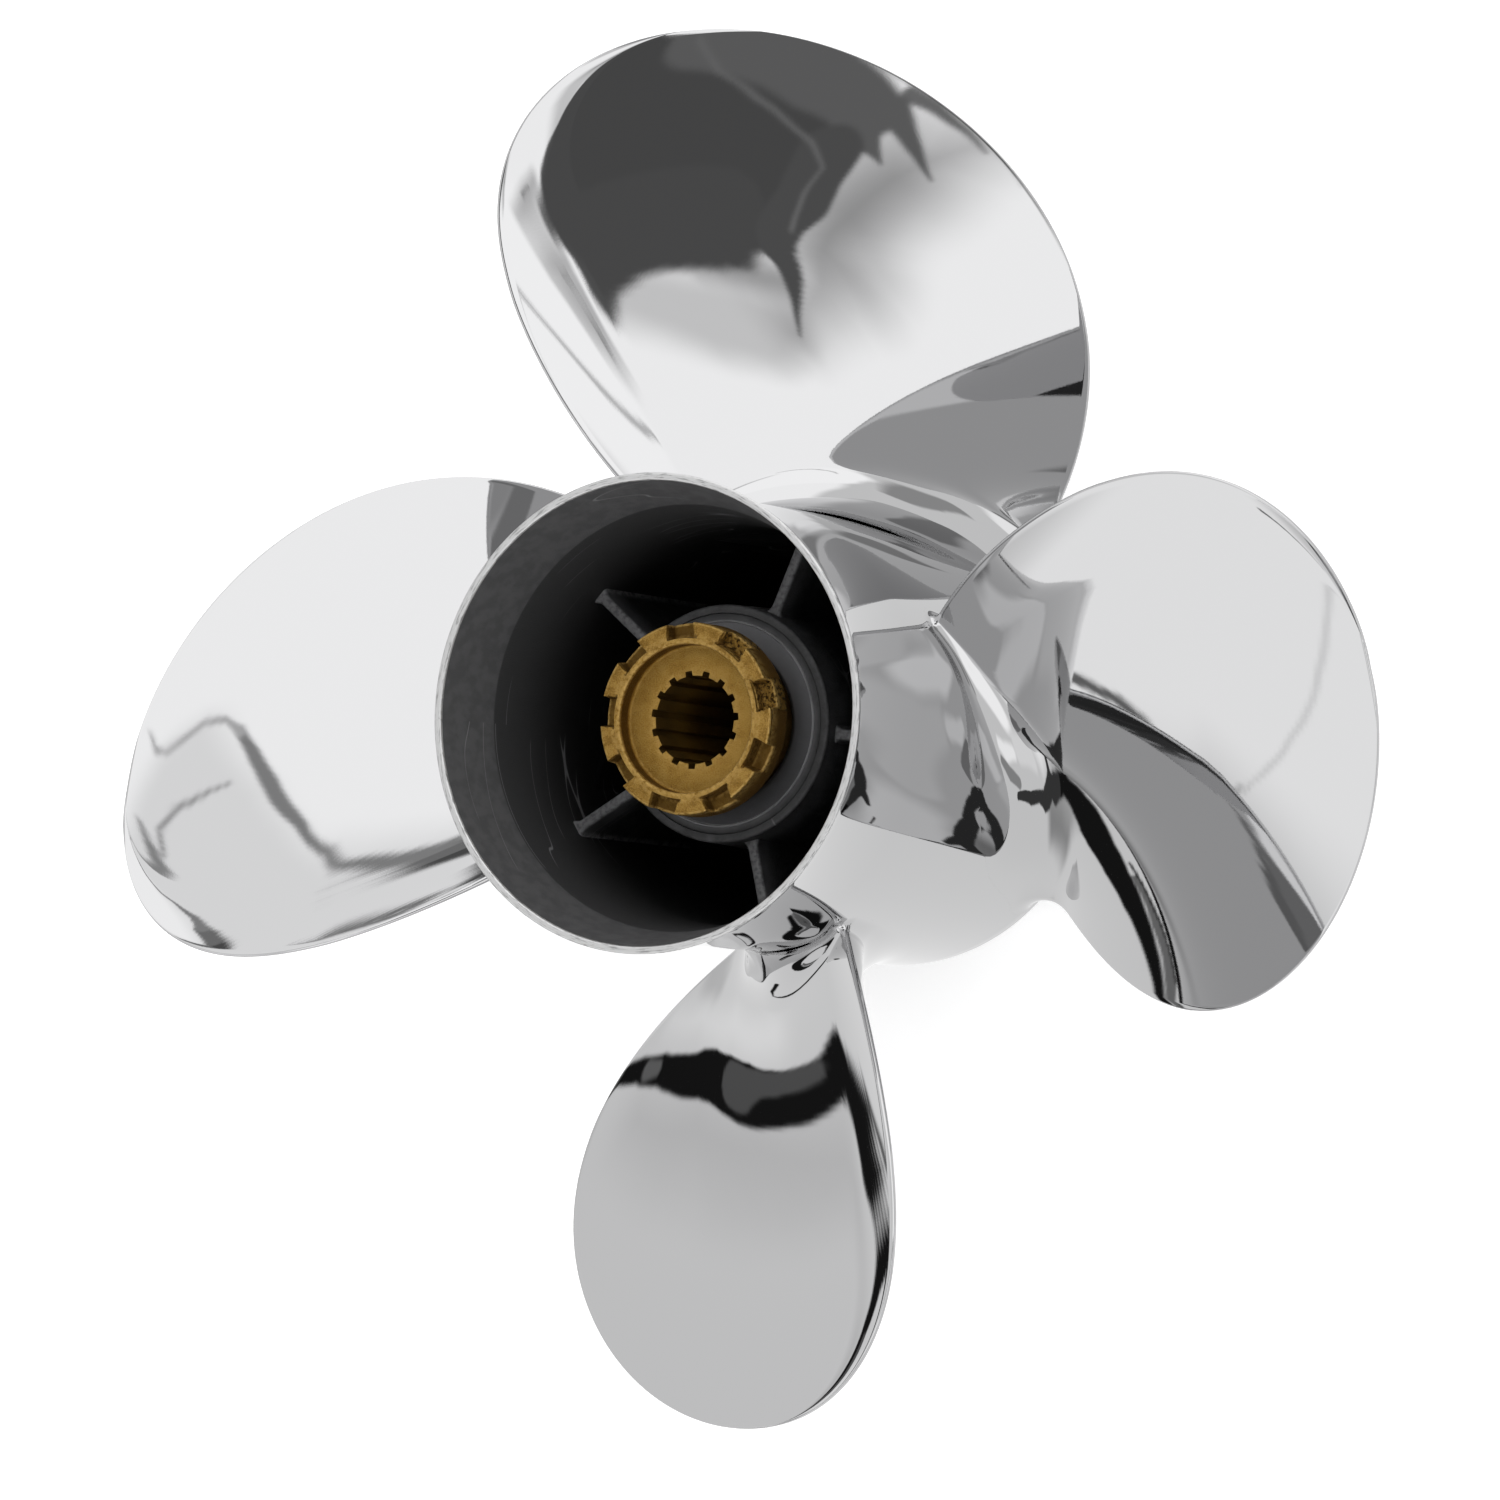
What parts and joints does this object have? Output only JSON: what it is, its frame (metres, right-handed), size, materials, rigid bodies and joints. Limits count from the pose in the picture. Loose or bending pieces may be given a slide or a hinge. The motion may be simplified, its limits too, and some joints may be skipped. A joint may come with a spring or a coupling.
{
  "type": "outboard motor propeller",
  "caption": "Stainless through-hub-exhaust boat propeller with swept, cupped blades on a flared barrel, and a ribbed inner hub holding a rubber-mounted brass spline sleeve.",
  "frame": {"origin": "centre of the barrel's forward face, on the shaft axis", "axes": "+Z along the shaft axis, pointing aft; +Y along the first blade; the part stands on its forward face"},
  "size_m": [0.3676, 0.3676, 0.148],
  "materials": {
    "polished_stainless": "mirror polished stainless steel",
    "black_paint": "cast stainless under matte black paint",
    "rubber": "matte moulded rubber",
    "brass": "grainy cast brass, machined faces"
  },
  "bodies": {
    "root": {"barrel": "polished_stainless", "blade_1": "polished_stainless", "blade_2": "polished_stainless", "blade_3": "polished_stainless", "blade_4": "polished_stainless", "inner_hub": "black_paint", "rib_1": "black_paint", "rib_2": "black_paint", "rib_3": "black_paint", "rib_4": "black_paint", "rib_5": "black_paint", "rubber_bushing": "rubber", "spline_sleeve": "brass"}
  },
  "joints": []
}
